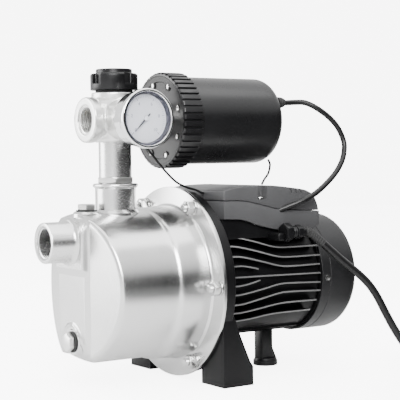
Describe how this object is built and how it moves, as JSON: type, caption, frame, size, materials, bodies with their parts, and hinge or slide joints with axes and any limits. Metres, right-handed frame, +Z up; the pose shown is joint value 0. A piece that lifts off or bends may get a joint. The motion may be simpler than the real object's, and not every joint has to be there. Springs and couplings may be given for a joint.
{
  "type": "shallow well jet pump",
  "caption": "Self-priming jet pump: stainless casing, finned motor on a two-legged bracket, five-way fitting with gauge, fill cap and pressure controller.",
  "frame": {"origin": "on the ground plane, under the middle of the pump's length and width without its mains cord", "axes": "+Z up; +Y along the shaft from the suction port to the fan cover; +X towards the pressure gauge"},
  "size_m": [0.2527, 0.5258, 0.3226],
  "materials": {
    "stainless_steel": "satin drawn sheet",
    "nickel": "satin nickel plate on a casting",
    "bright_steel": "polished",
    "zinc": "bright zinc plate",
    "ground_steel": "ground",
    "brass": "as cast",
    "copper": "enamelled wire",
    "laminations": "stacked sheet",
    "black_paint": "semi-gloss paint on a casting",
    "black_plastic": "satin moulding",
    "grey_plastic": "fine-textured moulding",
    "pale_plastic": "plain moulding",
    "rubber": "matt",
    "dial_white": "printed sheet",
    "needle_black": "satin paint",
    "clear_glass": "clear",
    "circuit_board": "coated board",
    "carbon": "carbon graphite",
    "cord_jacket": "satin cord jacket"
  },
  "bodies": {
    "pump": {"pump_casing": "stainless_steel", "casing_o_ring": "rubber", "seal_plate": "stainless_steel", "diffuser": "pale_plastic", "venturi_tube": "pale_plastic", "ejector_nozzle": "brass", "seal_seat": "pale_plastic", "motor_bracket": "black_paint", "front_bearing": "ground_steel", "rear_bearing": "ground_steel", "motor_housing": "black_paint", "stator_core": "laminations", "front_winding": "copper", "rear_winding": "copper", "rear_shield": "black_paint", "fan_cover": "black_paint", "fan_cover_screw": "zinc", "rear_foot": "black_plastic", "priming_plug": "nickel", "drain_plug": "nickel", "riser_nipple": "nickel", "five_way_body": "nickel", "gauge_case": "bright_steel", "gauge_dial": "dial_white", "gauge_lens": "clear_glass", "controller_ring": "black_plastic", "controller_cover": "black_plastic", "controller_body": "black_plastic", "controller_gland": "rubber", "controller_board": "circuit_board", "terminal_box_base": "grey_plastic", "terminal_box_cover": "grey_plastic", "terminal_box_screw": "zinc", "run_capacitor": "pale_plastic", "cable_gland": "black_plastic", "gland_nut": "black_plastic", "controller_cable": "cord_jacket", "front_sensor_wire": "cord_jacket", "rear_sensor_wire": "cord_jacket", "mains_cord": "cord_jacket", "mains_cord_coil": "cord_jacket", "mains_cord_tail": "cord_jacket", "mains_plug": "black_plastic", "flange_stud_nut_1": "zinc", "flange_stud_nut_2": "zinc", "flange_stud_nut_3": "zinc", "flange_stud_nut_4": "zinc", "flange_stud_nut_5": "zinc", "flange_stud_nut_6": "zinc"},
    "rotor": {"motor_shaft": "ground_steel", "rotor_core": "laminations", "impeller": "brass", "seal_head": "carbon", "cooling_fan": "black_plastic"},
    "poppet": {"check_valve_poppet": "brass", "check_valve_spring": "ground_steel"},
    "cap_ring": {"cap_o_ring": "rubber"},
    "cap": {"fill_cap": "black_plastic"},
    "needle": {"gauge_needle": "needle_black"}
  },
  "joints": [
    {"name": "rotor_spin", "type": "hinge", "parent": "pump", "child": "rotor", "pos_m": [0, 0.06055, 0.1015], "axis": [0, 1, 0], "continuous": true},
    {"name": "check_valve_lift", "type": "slide", "parent": "pump", "child": "poppet", "axis": [0, 0, 1], "range_m": [0, 0.008], "stiffness_N_per_m": 60, "springref_m": -0.003, "deforming": ["check_valve_spring"]},
    {"name": "cap_rise", "type": "slide", "parent": "pump", "child": "cap_ring", "axis": [0, 0, 1], "range_m": [0, 0.0115]},
    {"name": "cap_turn", "type": "hinge", "parent": "cap_ring", "child": "cap", "pos_m": [0, -0.09425, 0.3009], "axis": [0, 0, 1], "range_deg": [0, 1800]},
    {"name": "gauge_needle_turn", "type": "hinge", "parent": "pump", "child": "needle", "pos_m": [0.0619, -0.09425, 0.2706], "axis": [-1, 0, 0], "range_deg": [0, 270], "stiffness_Nm_per_rad": 0.0005, "springref_deg": -11.46}
  ],
  "couplings": [
    {"joint": "cap_rise", "follows": "cap_turn", "m_per_rad": 0.00036606}
  ]
}
